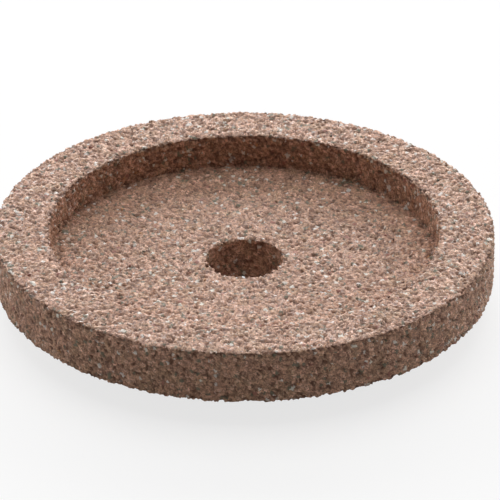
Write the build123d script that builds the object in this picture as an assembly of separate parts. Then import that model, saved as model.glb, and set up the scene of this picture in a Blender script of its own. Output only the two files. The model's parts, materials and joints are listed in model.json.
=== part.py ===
from build123d import *
import os

# A small recessed grinding wheel of bonded abrasive.
#
# Sizes are in millimetres, +Z is up, and the spin axis is Z.
# The wheel lies on the flat end of its back boss, with its grinding face and its recess upward.
# The origin is the centre of the bore at the boss's flat end, where the wheel seats on a spindle's shoulder.
#
# The wheel has three zones, each a solid of its own, and they meet face to face:
#   abrasive_rim  the working ring, ground away in use: a flat grinding face above a plain cylindrical wall
#   recess_web    the thin disc inside the rim: its top is the recess's floor and seats the clamp washer
#   back_boss     the thick middle that stands out behind the web, so that the bore is longer than the web

# Sizes across the wheel.
WHEEL_DIAMETER = 50.0
RIM_WIDTH = 5.5  # of the flat grinding face, from the recess to the outer wall
BOSS_DIAMETER = 30.0
BORE_DIAMETER = 8.0

# Sizes along the spin axis.
RECESS_DEPTH = 3.5
WEB_THICKNESS = 2.0
BOSS_HEIGHT = 2.5

# Every outer edge is rounded a little, as the edges of a moulded abrasive are.
EDGE_RADIUS = 0.25
BORE_EDGE_RADIUS = 0.15  # less at the bore, which keeps as much of its bearing length as it can

# What follows from them.
RECESS_DIAMETER = WHEEL_DIAMETER - 2 * RIM_WIDTH
RIM_HEIGHT = WEB_THICKNESS + RECESS_DEPTH
BACK_LEVEL = BOSS_HEIGHT  # the back face of the rim and the web
FLOOR_LEVEL = BACK_LEVEL + WEB_THICKNESS  # the floor of the recess
FACE_LEVEL = BACK_LEVEL + RIM_HEIGHT  # the grinding face

LEVEL_TOLERANCE = 0.001  # for telling one circular edge from another


def ring(outer_diameter, inner_diameter, bottom, height):
    """A plain ring round the spin axis, standing on the level `bottom`."""
    upright = (Align.CENTER, Align.CENTER, Align.MIN)
    outside = Cylinder(outer_diameter / 2, height, align=upright)
    inside = Cylinder(inner_diameter / 2, height, align=upright)
    return Pos(0, 0, bottom) * (outside - inside)


def circular_edge(solid, diameter, level):
    """The one circular edge of a solid that has this diameter and lies at this level."""
    matches = [
        edge
        for edge in solid.edges().filter_by(GeomType.CIRCLE)
        if abs(2 * edge.radius - diameter) < LEVEL_TOLERANCE
        and abs(edge.center().Z - level) < LEVEL_TOLERANCE
    ]
    assert len(matches) == 1, f"{len(matches)} edges of diameter {diameter} at level {level}"
    return matches[0]


def rounded(solid, radius, *diameters_and_levels):
    """The solid with these circular edges rounded to one radius."""
    edges = [circular_edge(solid, diameter, level) for diameter, level in diameters_and_levels]
    return fillet(edges, radius)


def abrasive_rim():
    """The working ring, as high as the recess and the web together."""
    blank = ring(WHEEL_DIAMETER, RECESS_DIAMETER, BACK_LEVEL, RIM_HEIGHT)
    outer_front = (WHEEL_DIAMETER, FACE_LEVEL)
    outer_back = (WHEEL_DIAMETER, BACK_LEVEL)
    recess_mouth = (RECESS_DIAMETER, FACE_LEVEL)
    return rounded(blank, EDGE_RADIUS, outer_front, outer_back, recess_mouth)


def recess_web():
    """The disc that fills the rim behind the recess, bored for the spindle."""
    blank = ring(RECESS_DIAMETER, BORE_DIAMETER, BACK_LEVEL, WEB_THICKNESS)
    bore_mouth = (BORE_DIAMETER, FLOOR_LEVEL)
    return rounded(blank, BORE_EDGE_RADIUS, bore_mouth)


def back_boss():
    """The boss behind the web, with the same bore and a flat end that rests on the spindle's shoulder."""
    blank = ring(BOSS_DIAMETER, BORE_DIAMETER, 0, BOSS_HEIGHT)
    outer_end = (BOSS_DIAMETER, 0)
    bore_end = (BORE_DIAMETER, 0)
    blank = rounded(blank, EDGE_RADIUS, outer_end)
    return rounded(blank, BORE_EDGE_RADIUS, bore_end)


PIECES = {
    "abrasive_rim": abrasive_rim,
    "recess_web": recess_web,
    "back_boss": back_boss,
}


def main():
    os.makedirs("parts", exist_ok=True)
    for name, make in PIECES.items():
        export_step(make(), f"parts/{name}.step")


if __name__ == "__main__":
    main()
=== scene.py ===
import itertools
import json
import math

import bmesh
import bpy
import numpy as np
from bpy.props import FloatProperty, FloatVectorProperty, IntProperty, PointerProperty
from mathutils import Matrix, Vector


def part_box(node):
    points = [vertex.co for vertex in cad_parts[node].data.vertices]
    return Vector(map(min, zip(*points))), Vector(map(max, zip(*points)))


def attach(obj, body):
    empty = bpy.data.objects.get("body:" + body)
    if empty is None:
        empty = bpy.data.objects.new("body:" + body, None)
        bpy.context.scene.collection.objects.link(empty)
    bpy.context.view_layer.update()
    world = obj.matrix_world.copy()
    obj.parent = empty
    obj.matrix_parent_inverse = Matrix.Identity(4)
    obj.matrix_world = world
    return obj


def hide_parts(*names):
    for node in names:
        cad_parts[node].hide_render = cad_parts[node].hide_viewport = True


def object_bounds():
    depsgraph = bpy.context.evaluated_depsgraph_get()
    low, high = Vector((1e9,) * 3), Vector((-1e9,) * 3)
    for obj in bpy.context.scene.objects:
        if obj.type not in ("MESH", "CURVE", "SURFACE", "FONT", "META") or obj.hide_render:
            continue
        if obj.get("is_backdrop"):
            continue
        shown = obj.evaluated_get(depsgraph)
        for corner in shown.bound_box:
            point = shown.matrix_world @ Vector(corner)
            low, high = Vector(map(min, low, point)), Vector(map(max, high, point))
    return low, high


bl_info = {
    "name": "Recessed grinding wheel",
    "version": (1, 0, 0),
    "blender": (4, 5, 0),
    "location": "3D View > Sidebar > Wheel",
    "description": "Builds a recessed wheel of bonded abrasive, grain by grain, with its table and lamps",
    "category": "Add Mesh",
}

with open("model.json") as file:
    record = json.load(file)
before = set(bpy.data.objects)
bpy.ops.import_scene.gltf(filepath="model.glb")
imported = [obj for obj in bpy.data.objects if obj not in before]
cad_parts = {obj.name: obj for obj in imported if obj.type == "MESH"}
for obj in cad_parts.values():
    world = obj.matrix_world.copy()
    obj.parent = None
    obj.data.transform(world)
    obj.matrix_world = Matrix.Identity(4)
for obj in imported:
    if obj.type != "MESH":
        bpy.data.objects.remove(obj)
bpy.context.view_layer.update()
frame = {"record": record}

# ---------------------------------------------------------------- what the frame gives

BODY = "root"
RIM_LOW, RIM_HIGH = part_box("abrasive_rim")
WEB_LOW, WEB_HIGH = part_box("recess_web")
BOSS_LOW, BOSS_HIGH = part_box("back_boss")
BORE = next(mount for mount in frame["record"]["mounts"] if mount["name"] == "bore")

BORE_RADIUS = BORE["dims"]["r_mm"] / 1000
WHEEL_RADIUS, RECESS_RADIUS, BOSS_RADIUS = RIM_HIGH.x, WEB_HIGH.x, BOSS_HIGH.x
END_LEVEL = BOSS_LOW.z  # the flat end of the boss
BACK_LEVEL = RIM_LOW.z  # the back of the rim and the web
FLOOR_LEVEL = WEB_HIGH.z  # the floor of the recess
FACE_LEVEL = RIM_HIGH.z  # the grinding face

MM = 0.001
WHITE = (1.0, 1.0, 1.0)


# ---------------------------------------------------------------- what a user may change


class GrainProperties(bpy.types.PropertyGroup):
    """The size of the grain, and how roughly it lies."""

    size: FloatProperty(
        name="Grain size",
        description="Width of one abrasive grain",
        default=0.33 * MM, min=0.1 * MM, max=2 * MM, precision=5, unit="LENGTH",
    )
    spacing: FloatProperty(
        name="Mesh spacing",
        description="Distance between the points of the mesh on a shown surface",
        default=0.171 * MM, min=0.05 * MM, max=2 * MM, precision=5, unit="LENGTH",
    )
    stand: FloatProperty(
        name="Stand",
        description="How unevenly the grains stand out of the surface, as a share of their size",
        default=0.26, min=0, max=1, subtype="FACTOR",
    )
    facet: FloatProperty(
        name="Facet slope",
        description="How steeply the faces of the grains lean",
        default=0.42, min=0, max=2, subtype="FACTOR",
    )
    crevice: FloatProperty(
        name="Crevice depth",
        description="Depth of the crevices between grains, as a share of the grain size",
        default=0.30, min=0, max=1, subtype="FACTOR",
    )
    missing: FloatProperty(
        name="Open pores",
        description="The share of the grains that have fallen out and left a pore",
        default=0.07, min=0, max=0.5, subtype="FACTOR",
    )
    crumble: FloatProperty(
        name="Edge crumble",
        description="The share of the grains along an edge that have crumbled away",
        default=0.38, min=0, max=1, subtype="FACTOR",
    )
    edge: FloatProperty(
        name="Edge radius",
        description="Radius of the worn outer edges",
        default=0.20 * MM, min=0.05 * MM, max=1 * MM, precision=5, unit="LENGTH",
    )
    seed: IntProperty(
        name="Seed",
        description="Another number gives the same wheel with other grains",
        default=7, min=0, max=9999,
    )


class ColourProperties(bpy.types.PropertyGroup):
    """The colours of the grain and of the bond between the grains. The bond colour also darkens the crevices
    as painted shade, and the clear grain colour is partly a painted glint.
    """

    # Partly painted shade: this dark colour is the bond's own, and the finish also lays it deep in the
    # crevices between the grains as painted shade. The dark crystals take it as well.
    bond_and_crevice_shade: FloatVectorProperty(
        name="Bond", description="The fired bond, deep between the grains",
        default=(0.150, 0.068, 0.040), min=0, max=1, size=3, subtype="COLOR",
    )
    brown: FloatVectorProperty(
        name="Brown grain", description="The darkest of the common grains",
        default=(0.262, 0.134, 0.084), min=0, max=1, size=3, subtype="COLOR",
    )
    tan: FloatVectorProperty(
        name="Tan grain", description="The commonest grain",
        default=(0.520, 0.292, 0.192), min=0, max=1, size=3, subtype="COLOR",
    )
    pink: FloatVectorProperty(
        name="Pink grain", description="The lightest of the common grains",
        default=(0.780, 0.480, 0.345), min=0, max=1, size=3, subtype="COLOR",
    )
    ruby: FloatVectorProperty(
        name="Ruby grain", description="The scattered red grains",
        default=(0.420, 0.180, 0.130), min=0, max=1, size=3, subtype="COLOR",
    )
    grey: FloatVectorProperty(
        name="Grey grain", description="The scattered grey-green grains",
        default=(0.210, 0.180, 0.120), min=0, max=1, size=3, subtype="COLOR",
    )
    amber: FloatVectorProperty(
        name="Amber grain", description="The scattered orange grains",
        default=(0.600, 0.300, 0.130), min=0, max=1, size=3, subtype="COLOR",
    )
    # Partly a painted highlight: the clear grains are coloured as light as glints, so this pale colour is
    # partly their own and partly painted glint.
    clear: FloatVectorProperty(
        name="Clear grain", description="The scattered pale, glassy grains",
        default=(0.800, 0.720, 0.650), min=0, max=1, size=3, subtype="COLOR",
    )


class StageProperties(bpy.types.PropertyGroup):
    """The table, the lamps and the camera."""

    table: FloatVectorProperty(
        name="Table", description="Colour of the table, as the light from it meets the wheel",
        default=(0.74, 0.72, 0.70), min=0, max=1, size=3, subtype="COLOR",
    )
    shadow: FloatProperty(
        name="Shadow", description="How much of the shadow shows on the white table",
        default=0.25, min=0, max=1, subtype="FACTOR",
    )
    back_light: FloatProperty(
        name="Back panel", description="Power of the wide panel behind the wheel",
        default=15.2, min=0, max=1000, unit="POWER",
    )
    side_light: FloatProperty(
        name="Side panels", description="Power of each of the two panels beside the wheel",
        default=1.5, min=0, max=1000, unit="POWER",
    )
    top_light: FloatProperty(
        name="Top panel", description="Power of the panel over the wheel",
        default=4.8, min=0, max=1000, unit="POWER",
    )
    fill: FloatProperty(
        name="Fill", description="Strength of the even light from all round",
        default=0.085, min=0, max=10,
    )
    elevation: FloatProperty(
        name="Camera elevation", description="Height of the camera above the level, as an angle",
        default=math.radians(29.27), min=0, max=math.pi / 2, subtype="ANGLE",
    )
    distance: FloatProperty(
        name="Camera distance", description="From the camera to the middle of the grinding face",
        default=0.5, min=0.1, max=10, unit="LENGTH",
    )
    lens: FloatProperty(
        name="Focal length", description="Focal length of the lens in millimetres, on a 36 mm sensor",
        default=360, min=10, max=2000,
    )


# ---------------------------------------------------------------- the lie of the grain

# Each of these picks another steady set of numbers for the grains.
STAND, LEAN, FALLEN, CRUMBLED, TONE, KIND = 11, 21, 31, 41, 51, 61

# Shares of the grain size.
SCATTER = 0.9  # how far the middles of the grains stray from an even grid
CREVICE_WIDTH = 0.22
PORE_DEPTH = 0.5
CRUMBLE_DEPTH = 0.6
DEEPEST = 0.6  # from here down, the surface takes the full dark bond colour, which is partly painted crevice shade

SUNK = 0.62  # the share of the grains' unevenness that lies below the smooth surface


def scrambled(cells, salt):
    """A steady number from 0 to 1 for each row of three whole numbers."""
    x, y, z = (cells[:, axis].astype(np.int64) for axis in range(3))
    mixed = (x * 73856093) ^ (y * 19349663) ^ (z * 83492791) ^ (salt * 2654435761)
    for shift, factor in ((16, 0x7FEB352D), (15, 0x846CA68B), (16, 1)):
        mixed = mixed & 0xFFFFFFFF
        mixed = ((mixed ^ (mixed >> shift)) * factor) & 0xFFFFFFFF
    return mixed / 2**32


def scrambled_points(cells, salt):
    """Three steady numbers from -0.5 to 0.5 for each row of three whole numbers."""
    return np.stack([scrambled(cells, salt + part) for part in range(3)], 1) - 0.5


def nearest_grains(points, size, seed):
    """Each point's distances to the middles of the nearest two grains, with the nearest's middle and cell."""
    home = np.floor(points / size).astype(np.int64)
    nearest = np.full(len(points), np.inf)
    second = nearest.copy()
    middle = np.zeros_like(points)
    cell = home.copy()
    for step in itertools.product((-1, 0, 1), repeat=3):
        here = home + step
        centre = (here + 0.5 + SCATTER * scrambled_points(here, seed)) * size
        distance = np.linalg.norm(points - centre, axis=1)
        closer = distance < nearest
        second = np.where(closer, nearest, np.minimum(second, distance))
        nearest = np.where(closer, distance, nearest)
        middle[closer] = centre[closer]
        cell[closer] = here[closer]
    return nearest, second, middle, cell


def grain_heights(points, edge, grain):
    """How far the grain pushes each point of the smooth surface out, which is mostly less than nothing.

    edge is 1 on an outer edge of the wheel and 0 well away from it."""
    nearest, second, middle, cell = nearest_grains(points, grain.size, grain.seed)
    stand = scrambled(cell, grain.seed + STAND) - SUNK
    lean = scrambled_points(cell, grain.seed + LEAN)
    lean /= np.linalg.norm(lean, axis=1, keepdims=True) + 1e-9
    facet = ((points - middle) * lean).sum(1)
    crevice = np.exp(-(((second - nearest) / (CREVICE_WIDTH * grain.size)) ** 2))
    fallen = scrambled(cell, grain.seed + FALLEN) < grain.missing
    crumbled = scrambled(cell, grain.seed + CRUMBLED) < grain.crumble * edge
    hollow = grain.crevice * crevice + PORE_DEPTH * fallen + CRUMBLE_DEPTH * crumbled * edge
    return grain.size * (grain.stand * stand - hollow) + grain.facet * facet


# ---------------------------------------------------------------- outlines and the rings spun from them

HIDDEN_STEP = 8  # along a hidden run, the points lie this many times further apart
HIDDEN_SPREAD = 4  # and this many times further apart round the axis
HIDDEN_SHARE = 0.3  # and take up this share of their length in the map
EDGE_REACH = 1.3  # how many grains in from an edge the crumbling reaches
LOOSE = 0.32  # how far a point strays from its even place, as a share of the spacing
MARGIN = 0.01  # clear space round each band of the map


def outline(corners, grain):
    """Samples a closed outline in the plane of the spin axis, anticlockwise, as rows of
    radius, level, outward radius, outward level, relief, edge, looseness and place along the outline.

    A corner is (radius, level, rounding, shown), where shown says whether the run that it starts is a surface
    that shows. A hidden run is straight, coarse and smooth."""
    count = len(corners)
    reach = EDGE_REACH * grain.size
    rows = []
    along = 0.0
    for index, (radius, level, rounding, shown) in enumerate(corners):
        here = np.array((radius, level))
        after = corners[(index + 1) % count]
        there = np.array(after[:2])
        run = there - here
        length = np.linalg.norm(run)
        way = run / length
        out = np.array((way[1], -way[0]))
        start, end = rounding, length - after[2]
        if shown:
            steps = max(2, round((end - start) / grain.spacing))
        else:
            steps = max(1, round((end - start) / (HIDDEN_STEP * grain.spacing)))
        for step in range(steps + (1 if shown else 0)):
            far = start + (end - start) * step / steps
            ends = step in (0, steps)
            if not shown and step == 0:
                continue
            near_edge = max(
                math.exp(-((far / reach) ** 2)) * (rounding > 0),
                math.exp(-(((length - far) / reach) ** 2)) * (after[2] > 0),
            )
            place = here + way * far
            rows.append((*place, *out, float(shown), near_edge, float(shown and not ends), along + far))
        along += length * (1.0 if shown else HIDDEN_SHARE)
        if after[2] > 0:
            turn_from = math.atan2(out[1], out[0])
            middle = there - way * after[2] - out * after[2]
            pieces = max(2, round(after[2] * math.pi / 2 / grain.spacing))
            for piece in range(1, pieces):
                angle = turn_from + math.pi / 2 * piece / pieces
                aim = np.array((math.cos(angle), math.sin(angle)))
                place = middle + aim * after[2]
                rows.append((*place, *aim, 1.0, 1.0, 1.0, along))
    return np.array(rows), along


def stitched(first, first_count, second, second_count):
    """The triangles between two rings of evenly spaced points, given each one's first point and count."""
    first_middles = (np.arange(first_count) + 0.5) / first_count
    second_middles = (np.arange(second_count) + 0.5) / second_count
    here = np.arange(first_count)
    there = np.arange(second_count)
    tip = np.searchsorted(second_middles, first_middles) % second_count
    heel = np.searchsorted(first_middles, second_middles, side="right") % first_count
    forward = np.stack((first + here, first + (here + 1) % first_count, second + tip), 1)
    backward = np.stack((second + (there + 1) % second_count, second + there, first + heel), 1)
    return np.concatenate((forward, backward))


def spun(corners, grain, salt):
    """Spins an outline round the axis, and returns its points, outward directions, rows of outline values,
    turns from 0 to 1, and triangles.

    The points lie about as far apart round the axis as along the outline."""
    rows, total = outline(corners, grain)
    draw = np.random.default_rng(grain.seed * 100 + salt)
    spread = np.where(rows[:, 4] > 0, grain.spacing, HIDDEN_SPREAD * grain.spacing)
    counts = np.maximum(16, np.round(2 * math.pi * rows[:, 0] / spread).astype(int))
    starts = np.concatenate(([0], np.cumsum(counts)))
    points, aways, values, turns = [], [], [], []
    for row, count in zip(rows, counts):
        radius, level, away_radius, away_level, relief, edge, loose, along = row
        turn = np.arange(count) / count
        shift = draw.uniform(-LOOSE, LOOSE, (count, 2)) * grain.spacing * loose
        angle = 2 * math.pi * turn + shift[:, 0] / radius
        cosine, sine = np.cos(angle), np.sin(angle)
        reach = radius - shift[:, 1] * away_level
        height = level + shift[:, 1] * away_radius
        points.append(np.stack((reach * cosine, reach * sine, height), 1))
        aways.append(np.stack((away_radius * cosine, away_radius * sine, np.full(count, away_level)), 1))
        values.append(np.tile((relief, edge, along / total), (count, 1)))
        turns.append(turn)
    triangles = []
    for ring in range(len(rows)):
        after = (ring + 1) % len(rows)
        triangles.append(stitched(starts[ring], counts[ring], starts[after], counts[after]))
    return (
        np.concatenate(points), np.concatenate(aways), np.concatenate(values),
        np.concatenate(turns), np.concatenate(triangles),
    )


def unrolled(triangles, turns, along, bands):
    """A map of the spun surface: unrolled, cut into bands and laid one band over the next."""
    turn = turns[triangles]
    turn = np.where(turn.max(1, keepdims=True) - turn > 0.5, turn + 1, turn)
    place = along[triangles]
    place = np.where(place.max(1, keepdims=True) - place > 0.5, place + 1, place)
    band = np.minimum(np.floor(turn.mean(1, keepdims=True) * bands), bands - 1)
    across = MARGIN + (1 - 2 * MARGIN) * (turn * bands - band)
    up = (band + MARGIN + (1 - 3 * MARGIN) * np.minimum(place, 1.0)) / bands
    return np.stack((across, up), 2).reshape(-1, 2)


def mesh_object(name, points, triangles, material):
    """A mesh object of plain triangles, in the scene and riding on the wheel's body."""
    mesh = bpy.data.meshes.new(name)
    mesh.vertices.add(len(points))
    mesh.vertices.foreach_set("co", points.astype(np.float32).ravel())
    mesh.loops.add(triangles.size)
    mesh.loops.foreach_set("vertex_index", triangles.astype(np.int32).ravel())
    mesh.polygons.add(len(triangles))
    mesh.polygons.foreach_set("loop_start", np.arange(0, triangles.size, 3, dtype=np.int32))
    mesh.update(calc_edges=True)
    mesh.materials.append(material)
    made = bpy.data.objects.new(name, mesh)
    bpy.context.scene.collection.objects.link(made)
    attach(made, BODY)
    return made


def note(mesh, name, domain, numbers):
    """Keeps one number for each point or face of a mesh, for its material to read."""
    mesh.attributes.new(name, "FLOAT", domain).data.foreach_set("value", numbers.astype(np.float32))


def grained_ring(name, node, corners, grain, salt, bands, material):
    """One zone of the wheel: its outline spun round, with every grain of its surface in relief."""
    points, aways, values, turns, triangles = spun(corners, grain, salt)
    relief, edge, along = values.T
    heights = grain_heights(points, edge, grain) * relief
    centres = points[triangles].mean(1)
    cell = nearest_grains(centres, grain.size, grain.seed)[3]
    ring = mesh_object(name, points + aways * heights[:, None], triangles, material)
    mesh = ring.data
    # How deep each point lies. The finish darkens the deep points with the bond colour, partly as painted
    # crevice shade.
    note(mesh, "sunk", "POINT", np.clip(-heights / (DEEPEST * grain.size), 0, 1))
    note(mesh, "grain_tone", "FACE", scrambled(cell, grain.seed + TONE))
    note(mesh, "grain_kind", "FACE", scrambled(cell, grain.seed + KIND))
    unwrapped = mesh.uv_layers.new(name="OFBake")
    unwrapped.uv.foreach_set("vector", unrolled(triangles, turns, along, bands).astype(np.float32).ravel())
    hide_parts(node)
    return ring


# ---------------------------------------------------------------- the three outlines

LAP = 0.30 * MM  # how far a zone reaches into its neighbour, out of sight
BORE_SKIN = BORE_RADIUS - 0.20 * MM  # the grain of the bore is sunk below this radius


def rim_outline(edge):
    """The back, the outer wall, the grinding face and the wall of the recess."""
    return [
        (RECESS_RADIUS, BACK_LEVEL, 0, True),
        (WHEEL_RADIUS, BACK_LEVEL, edge, True),
        (WHEEL_RADIUS, FACE_LEVEL, edge, True),
        (RECESS_RADIUS, FACE_LEVEL, edge, True),
        (RECESS_RADIUS, FLOOR_LEVEL - LAP, 0, False),
    ]


def web_outline(edge):
    """The back between boss and rim, the floor of the recess, and the upper part of the bore."""
    return [
        (BORE_SKIN, BACK_LEVEL, 0, False),
        (BOSS_RADIUS - LAP, BACK_LEVEL, 0, True),
        (RECESS_RADIUS, BACK_LEVEL, 0, False),
        (RECESS_RADIUS + LAP, BACK_LEVEL + LAP, 0, False),
        (RECESS_RADIUS + LAP, FLOOR_LEVEL, 0, True),
        (BORE_SKIN, FLOOR_LEVEL, edge / 2, True),
    ]


def boss_outline(edge):
    """The flat end, the side of the boss, and the lower part of the bore."""
    return [
        (BORE_SKIN, END_LEVEL, edge / 2, True),
        (BOSS_RADIUS, END_LEVEL, edge, True),
        (BOSS_RADIUS, BACK_LEVEL + LAP, 0, False),
        (BORE_SKIN + LAP, BACK_LEVEL + LAP, 0, False),
        (BORE_SKIN, BACK_LEVEL, 0, True),
    ]


# ---------------------------------------------------------------- finishes

# The places, among the Mix node's many sockets, of the ones for colours.
FIRST_COLOUR, SECOND_COLOUR, MIXED_COLOUR = 6, 7, 2


class Finish:
    """A node material under construction."""

    def __init__(self, name):
        self.material = bpy.data.materials.new(name)
        self.material.use_nodes = True
        self.nodes = self.material.node_tree.nodes
        self.links = self.material.node_tree.links
        self.shader = self.nodes["Principled BSDF"]

    def add(self, kind, inputs=None, **settings):
        """A node, with its settings, and with each named or numbered input set or linked."""
        made = self.nodes.new(kind)
        for name, value in settings.items():
            setattr(made, name, value)
        for key, value in (inputs or {}).items():
            self.feed(made.inputs[key], value)
        return made

    def feed(self, socket, value):
        """Links another node's output to a socket, or sets the socket to a plain value."""
        if isinstance(value, bpy.types.NodeSocket):
            self.links.new(value, socket)
        else:
            socket.default_value = value

    def math(self, operation, *values):
        """One sum on numbers."""
        made = self.add("ShaderNodeMath", operation=operation)
        for socket, value in zip(made.inputs, values):
            self.feed(socket, value)
        return made.outputs[0]

    def mix(self, share, first, second, blend="MIX"):
        """The first colour, with this share of the second mixed in."""
        made = self.add("ShaderNodeMix", data_type="RGBA", blend_type=blend, clamp_factor=True)
        self.feed(made.inputs["Factor"], share)
        self.feed(made.inputs[FIRST_COLOUR], first)
        self.feed(made.inputs[SECOND_COLOUR], second)
        return made.outputs[MIXED_COLOUR]

    def ramp(self, value, stops):
        """A run of colours, picked from by a number, with two or more stops of place and colour."""
        made = self.add("ShaderNodeValToRGB", {"Fac": value})
        elements = made.color_ramp.elements
        elements[0].position, elements[0].color = stops[0][0], (*stops[0][1], 1)
        elements[1].position, elements[1].color = stops[-1][0], (*stops[-1][1], 1)
        for position, colour in stops[1:-1]:
            elements.new(position).color = (*colour, 1)
        return made.outputs["Color"]

    def step(self, value, low, high, from_value=0.0, to_value=1.0):
        """from_value below low, to_value above high, and smooth between."""
        made = self.add(
            "ShaderNodeMapRange",
            {"Value": value, "From Min": low, "From Max": high, "To Min": from_value, "To Max": to_value},
            interpolation_type="SMOOTHSTEP",
        )
        return made.outputs["Result"]

    def object_place(self):
        """Where a point lies, in the wheel's own frame."""
        return self.add("ShaderNodeTexCoord").outputs["Object"]

    def noise(self, place, width, detail=2.0, roughness=0.5):
        """Smooth noise from 0 to 1 whose lumps are about this wide."""
        inputs = {"Vector": place, "Scale": 1 / width, "Detail": detail, "Roughness": roughness}
        return self.add("ShaderNodeTexNoise", inputs).outputs["Fac"]

    def cells(self, place, width, feature="F1"):
        """A cellular pattern whose cells are about this wide."""
        return self.add("ShaderNodeTexVoronoi", {"Vector": place, "Scale": 1 / width}, feature=feature)


def four(colour):
    """A colour with its opaque fourth part."""
    return (*colour, 1.0)


# Where the number that each grain carries makes it one of the rarer kinds.
RUBY_FROM = 0.992
GREY_BELOW = 0.039
# Grains whose number lies this close to the middle take the pale clear colour, partly a painted glint.
CLEAR_GLINT_BAND = 0.015  # either side of the middle
SHARP = 0.001


def bonded_abrasive(colours, grain):
    """The fired body of the wheel: brown bond, tan and pink grains, and a few of other kinds. The crevices
    are darkened with the bond colour, partly as painted shade, and the pale clear grains are partly painted
    glints.
    """
    finish = Finish("bonded abrasive")
    place = finish.object_place()
    tone = finish.add("ShaderNodeAttribute", attribute_name="grain_tone").outputs["Fac"]
    kind = finish.add("ShaderNodeAttribute", attribute_name="grain_kind").outputs["Fac"]
    sunk = finish.add("ShaderNodeAttribute", attribute_name="sunk").outputs["Fac"]

    browns = [(0.0, colours.brown), (0.30, colours.tan), (0.75, colours.tan), (1.0, colours.pink)]
    common = finish.ramp(tone, browns)
    splinters = finish.cells(place, 0.42 * grain.size).outputs["Color"]
    splinter = finish.add("ShaderNodeSeparateColor", {"Color": splinters})
    shade = finish.step(splinter.outputs["Red"], 0.0, 1.0, 0.62, 1.36)
    shades = finish.add("ShaderNodeCombineXYZ", {"X": shade, "Y": shade, "Z": shade}).outputs[0]
    chipped = finish.add("ShaderNodeVectorMath", {0: common, 1: shades}, operation="MULTIPLY").outputs[0]

    is_ruby = finish.step(kind, RUBY_FROM, RUBY_FROM + SHARP)
    is_grey = finish.step(kind, GREY_BELOW + SHARP, GREY_BELOW)
    from_middle = finish.math("ABSOLUTE", finish.math("SUBTRACT", kind, 0.5))
    # The pale clear grains: partly their own colour, partly painted glints.
    is_clear_glint = finish.step(from_middle, CLEAR_GLINT_BAND + SHARP, CLEAR_GLINT_BAND)
    ruby = finish.mix(is_ruby, chipped, four(colours.ruby))
    grey = finish.mix(is_grey, ruby, four(colours.grey))
    clear = finish.mix(is_clear_glint, grey, four(colours.clear))

    warm = finish.noise(place, 1.4 * MM, detail=1.0)
    tint = finish.ramp(warm, [(0.30, (0.95, 0.99, 0.94)), (0.50, WHITE), (0.72, (1.02, 0.99, 1.01))])
    tinted = finish.mix(1.0, clear, tint, blend="MULTIPLY")

    # Painted shade in the crevices: the deeper a point lies between the grains, the more of the dark bond
    # colour it takes. This is partly the bond's own colour and partly shade painted where the crevices are
    # shaded. The same depth roughens the surface below.
    deep_bond_and_shade = finish.step(sunk, 0.30, 1.0)
    colour = finish.mix(finish.math("MULTIPLY", deep_bond_and_shade, 0.75), tinted, four(colours.bond_and_crevice_shade))

    glassy = finish.step(splinter.outputs["Green"], 0.80, 0.84, 0.62, 0.28)
    rough = finish.math("MAXIMUM", glassy, finish.math("MULTIPLY", deep_bond_and_shade, 0.8))

    pits = finish.math("MULTIPLY", finish.cells(place, 0.5 * grain.size).outputs["Distance"], -0.5)
    powder = finish.math("MULTIPLY", finish.noise(place, 0.05 * MM, detail=3.0), 0.35)
    height = finish.math("ADD", pits, powder)
    bump = finish.add("ShaderNodeBump", {"Height": height, "Strength": 1.0, "Distance": 0.05 * MM})

    finish.feed(finish.shader.inputs["Base Color"], colour)
    finish.feed(finish.shader.inputs["Roughness"], rough)
    finish.feed(finish.shader.inputs["Normal"], bump.outputs["Normal"])
    finish.shader.inputs["IOR"].default_value = 1.55
    return finish.material


def crystal_finish(name, colour, roughness):
    """A single crystal of abrasive, cloudy inside and dusty outside."""
    finish = Finish(name)
    place = finish.object_place()
    cloud = finish.noise(place, 0.20 * MM, detail=3.0)
    dust = finish.noise(place, 0.07 * MM, detail=2.0)
    darker = tuple(0.62 * part for part in colour)
    lighter = tuple(min(1.0, 1.25 * part) for part in colour)
    body = finish.ramp(cloud, [(0.30, darker), (0.52, colour), (0.72, lighter)])
    finish.feed(finish.shader.inputs["Base Color"], body)
    dusty = min(1.0, roughness + 0.35)
    finish.feed(finish.shader.inputs["Roughness"], finish.step(dust, 0.35, 0.70, roughness, dusty))
    bump = finish.add("ShaderNodeBump", {"Height": dust, "Strength": 1.0, "Distance": 0.012 * MM})
    finish.feed(finish.shader.inputs["Normal"], bump.outputs["Normal"])
    finish.shader.inputs["IOR"].default_value = 1.65
    return finish.material


def wheel_finish():
    """The wheel's one finish, made the first time that it is asked for."""
    scene = bpy.context.scene
    made = bpy.data.materials.get("bonded abrasive")
    return made or bonded_abrasive(scene.wheel_colours, scene.wheel_grain)


# ---------------------------------------------------------------- single crystals

CRYSTAL_POINTS = 11  # the hull of these is one crystal
OFF_EDGE = 0.45 * MM  # how far the scattered crystals keep off an edge
DEPTHS = (0.14, 0.30)  # how far in the middle of a crystal lies, as a share of the group's width


def crystal(draw, width):
    """The corners and triangles of one crystal: the hull of a few points on a lopsided ball."""
    aims = draw.normal(size=(CRYSTAL_POINTS, 3))
    aims /= np.linalg.norm(aims, axis=1, keepdims=True)
    corners = aims * draw.uniform(0.36, 0.60, 3) * width
    shape = bmesh.new()
    for corner in corners:
        shape.verts.new(corner)
    bmesh.ops.convex_hull(shape, input=shape.verts)
    for vert in [vert for vert in shape.verts if not vert.link_faces]:
        shape.verts.remove(vert)
    bmesh.ops.triangulate(shape, faces=shape.faces)
    bmesh.ops.recalc_face_normals(shape, faces=shape.faces)
    shape.verts.index_update()
    points = np.array([vert.co for vert in shape.verts])
    triangles = np.array([[vert.index for vert in face.verts] for face in shape.faces])
    shape.free()
    return points, triangles


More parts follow.
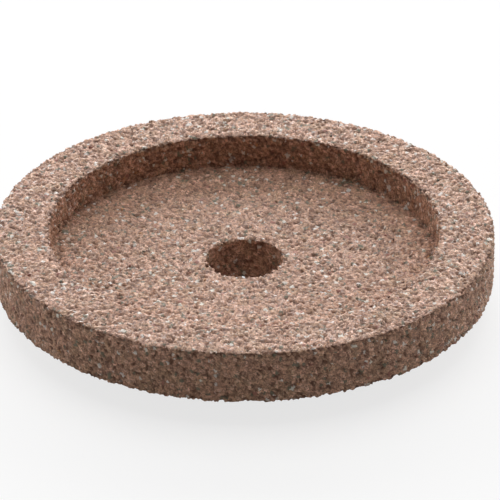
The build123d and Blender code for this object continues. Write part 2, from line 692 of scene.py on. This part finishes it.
def scattered(corner_lists, count, draw):
    """Points spread evenly over the shown runs of these outlines, with their outward directions."""
    runs = []
    for corners in corner_lists:
        for corner, after in zip(corners, corners[1:] + corners[:1]):
            if corner[3]:
                start, end = np.array(corner[:2]), np.array(after[:2])
                runs.append((start, end, (start[0] + end[0]) * np.linalg.norm(end - start)))
    share = np.array([run[2] for run in runs])
    picks = draw.choice(len(runs), count, p=share / share.sum())
    for pick in picks:
        start, end, _ = runs[pick]
        way = (end - start) / np.linalg.norm(end - start)
        start, end = start + way * OFF_EDGE, end - way * OFF_EDGE
        low, high = sorted((start[0], end[0]))
        place = start + (end - start) * draw.uniform()
        if high > low:
            place[0] = math.sqrt(draw.uniform(low**2, high**2))
        angle = draw.uniform(0, 2 * math.pi)
        cosine, sine = math.cos(angle), math.sin(angle)
        point = np.array((place[0] * cosine, place[0] * sine, place[1]))
        away = np.array((way[1] * cosine, way[1] * sine, -way[0]))
        yield point, away


def crystals(name, count, width, colour, roughness, salt):
    """A group of crystals of one colour, each more than half set into the wheel's surface."""
    grain = bpy.context.scene.wheel_grain
    draw = np.random.default_rng(grain.seed * 1000 + salt)
    zones = [rim_outline(grain.edge), web_outline(grain.edge), boss_outline(grain.edge)]
    places, aways = (np.array(rows) for rows in zip(*scattered(zones, count, draw)))
    heights = np.minimum(grain_heights(places, 0.0, grain), 0.0)
    points, triangles, total = [], [], 0
    for place, away, height in zip(places, aways, heights):
        corners, faces = crystal(draw, width * draw.uniform(0.75, 1.25))
        points.append(corners + place + away * (height - draw.uniform(*DEPTHS) * width))
        triangles.append(faces + total)
        total += len(corners)
    finish = crystal_finish(name.replace("_", " "), tuple(colour), roughness)
    return mesh_object(name, np.concatenate(points), np.concatenate(triangles), finish)


# ---------------------------------------------------------------- operators, one for each piece


class WHEEL_OT_rim(bpy.types.Operator):
    """Build the working rim, from the grinding face to the outer wall and the wall of the recess"""

    bl_idname = "wheel.rim"
    bl_label = "Working rim"

    def execute(self, context):
        grain = context.scene.wheel_grain
        grained_ring("rim_abrasive", "abrasive_rim", rim_outline(grain.edge), grain, 1, 3, wheel_finish())
        return {"FINISHED"}


class WHEEL_OT_web(bpy.types.Operator):
    """Build the web: the floor of the recess, the top of the bore and the back between boss and rim"""

    bl_idname = "wheel.web"
    bl_label = "Web"

    def execute(self, context):
        grain = context.scene.wheel_grain
        grained_ring("web_abrasive", "recess_web", web_outline(grain.edge), grain, 2, 2, wheel_finish())
        return {"FINISHED"}


class WHEEL_OT_boss(bpy.types.Operator):
    """Build the boss behind the web, with its flat end and the rest of the bore"""

    bl_idname = "wheel.boss"
    bl_label = "Back boss"

    def execute(self, context):
        grain = context.scene.wheel_grain
        grained_ring("boss_abrasive", "back_boss", boss_outline(grain.edge), grain, 3, 2, wheel_finish())
        return {"FINISHED"}


class WHEEL_OT_crystals(bpy.types.Operator):
    """Set the scattered ruby, grey, amber, clear and dark crystals into the surface. The clear ones are
    coloured as light as glints, partly as painted glints
    """

    bl_idname = "wheel.crystals"
    bl_label = "Scattered crystals"

    def execute(self, context):
        colours = context.scene.wheel_colours
        crystals("ruby_grains", 110, 0.46 * MM, colours.ruby, 0.35, 1)
        crystals("grey_grains", 170, 0.42 * MM, colours.grey, 0.45, 2)
        crystals("amber_grains", 110, 0.38 * MM, colours.amber, 0.40, 3)
        # Partly painted highlight: these small glossy crystals are coloured as light as glints.
        crystals("clear_glint_grains", 260, 0.26 * MM, colours.clear, 0.12, 4)
        crystals("dark_grains", 140, 0.34 * MM, colours.bond_and_crevice_shade, 0.30, 5)
        return {"FINISHED"}


class WHEEL_OT_stage(bpy.types.Operator):
    """Set out the white table, the lamps, the white surroundings and the camera"""

    bl_idname = "wheel.stage"
    bl_label = "Table, lamps and camera"

    def execute(self, context):
        settings = context.scene.wheel_stage
        table(settings)
        lamps(settings)
        surroundings(settings)
        camera(settings)
        context.scene.view_settings.view_transform = "Standard"
        return {"FINISHED"}


# ---------------------------------------------------------------- the stage

# How far the camera aims from the middle of the grinding face.
AIM_RIGHT = 0.55 * MM
AIM_DOWN = 2.28 * MM


def table(settings):
    """A plain table top under the lowest grains, white to the eye and pale to the light on it."""
    half = 1.5
    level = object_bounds()[0][2]
    mesh = bpy.data.meshes.new("table_top")
    corners = [(-half, -half, level), (half, -half, level), (half, half, level), (-half, half, level)]
    mesh.from_pydata(corners, [], [(0, 1, 2, 3)])
    finish = Finish("white table")
    finish.nodes.remove(finish.shader)
    lit = finish.add("ShaderNodeBsdfDiffuse", {"Color": four(settings.table)})
    paper = finish.add("ShaderNodeBsdfDiffuse", {"Color": four(WHITE)})
    glow = finish.add("ShaderNodeEmission", {"Color": four(WHITE), "Strength": 1.0})
    seen = finish.add("ShaderNodeMixShader", {0: settings.shadow, 1: glow.outputs[0], 2: paper.outputs[0]})
    eye = finish.add("ShaderNodeLightPath").outputs["Is Camera Ray"]
    both = finish.add("ShaderNodeMixShader", {0: eye, 1: lit.outputs[0], 2: seen.outputs[0]})
    finish.links.new(both.outputs[0], finish.nodes["Material Output"].inputs["Surface"])
    mesh.materials.append(finish.material)
    top = bpy.data.objects.new("table_top", mesh)
    bpy.context.scene.collection.objects.link(top)
    top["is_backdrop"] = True


def panel(name, place, width, height, power):
    """A soft lamp that faces the wheel and doesn't show."""
    lamp = bpy.data.lights.new(name, "AREA")
    lamp.shape = "RECTANGLE"
    lamp.size, lamp.size_y = width, height
    lamp.energy = power
    made = bpy.data.objects.new(name, lamp)
    made.location = place
    made.rotation_euler = (-Vector(place)).to_track_quat("-Z", "Y").to_euler()
    made.visible_camera = False
    bpy.context.scene.collection.objects.link(made)


def lamps(settings):
    """A wide panel behind the wheel, one on each side and one over it. None stands in front."""
    panel("back_panel", (0, 0.80, 0.26), 1.9, 0.50, settings.back_light)
    panel("left_panel", (-0.90, 0.30, 0.30), 0.90, 0.46, settings.side_light)
    panel("right_panel", (0.90, 0.30, 0.30), 0.90, 0.46, settings.side_light)
    panel("top_panel", (0, 0.25, 0.90), 0.90, 0.90, settings.top_light)


def surroundings(settings):
    """White to the eye, and a weak even light to the wheel."""
    world = bpy.data.worlds.new("white surroundings")
    bpy.context.scene.world = world
    world.use_nodes = True
    tree = world.node_tree
    fill = tree.nodes["Background"]
    fill.inputs["Color"].default_value = four(WHITE)
    fill.inputs["Strength"].default_value = settings.fill
    white = tree.nodes.new("ShaderNodeBackground")
    white.inputs["Color"].default_value = four(WHITE)
    white.inputs["Strength"].default_value = 1.0
    path = tree.nodes.new("ShaderNodeLightPath")
    mixed = tree.nodes.new("ShaderNodeMixShader")
    tree.links.new(path.outputs["Is Camera Ray"], mixed.inputs[0])
    tree.links.new(fill.outputs[0], mixed.inputs[1])
    tree.links.new(white.outputs[0], mixed.inputs[2])
    tree.links.new(mixed.outputs[0], tree.nodes["World Output"].inputs["Surface"])


def camera(settings):
    """A long lens that looks down at the wheel and aims a little to one side of its middle."""
    lens = bpy.data.cameras.new("camera")
    lens.sensor_width = 36
    lens.lens = settings.lens
    lens.clip_start, lens.clip_end = 0.01, 10
    made = bpy.data.objects.new("camera", lens)
    look = Vector((0, math.cos(settings.elevation), -math.sin(settings.elevation)))
    up = Vector((0, math.sin(settings.elevation), math.cos(settings.elevation)))
    aim = Vector((AIM_RIGHT, 0, FACE_LEVEL)) - AIM_DOWN * up
    made.location = aim - settings.distance * look
    made.rotation_euler = look.to_track_quat("-Z", "Y").to_euler()
    bpy.context.scene.collection.objects.link(made)
    bpy.context.scene.camera = made


# ---------------------------------------------------------------- the panel and the list of classes

STEPS = ("wheel.rim", "wheel.web", "wheel.boss", "wheel.crystals", "wheel.stage")


class WHEEL_PT_steps(bpy.types.Panel):
    """The steps that build the wheel, in order"""

    bl_label = "Grinding wheel"
    bl_idname = "WHEEL_PT_steps"
    bl_space_type = "VIEW_3D"
    bl_region_type = "UI"
    bl_category = "Wheel"

    def draw(self, context):
        for step in STEPS:
            self.layout.operator(step)
        for group in (context.scene.wheel_grain, context.scene.wheel_colours, context.scene.wheel_stage):
            box = self.layout.box()
            for name in group.__annotations__:
                box.prop(group, name)


CLASSES = (
    GrainProperties,
    ColourProperties,
    StageProperties,
    WHEEL_OT_rim,
    WHEEL_OT_web,
    WHEEL_OT_boss,
    WHEEL_OT_crystals,
    WHEEL_OT_stage,
    WHEEL_PT_steps,
)


def register():
    """Adds the classes and their settings."""
    for item in CLASSES:
        bpy.utils.register_class(item)
    bpy.types.Scene.wheel_grain = PointerProperty(type=GrainProperties)
    bpy.types.Scene.wheel_colours = PointerProperty(type=ColourProperties)
    bpy.types.Scene.wheel_stage = PointerProperty(type=StageProperties)


def unregister():
    """Takes the settings and the classes away."""
    del bpy.types.Scene.wheel_stage
    del bpy.types.Scene.wheel_colours
    del bpy.types.Scene.wheel_grain
    for item in reversed(CLASSES):
        bpy.utils.unregister_class(item)


def main():
    """Builds everything in order."""
    register()
    for step in STEPS:
        group, name = step.split(".")
        getattr(getattr(bpy.ops, group), name)()


if __name__ == "__main__":
    main()
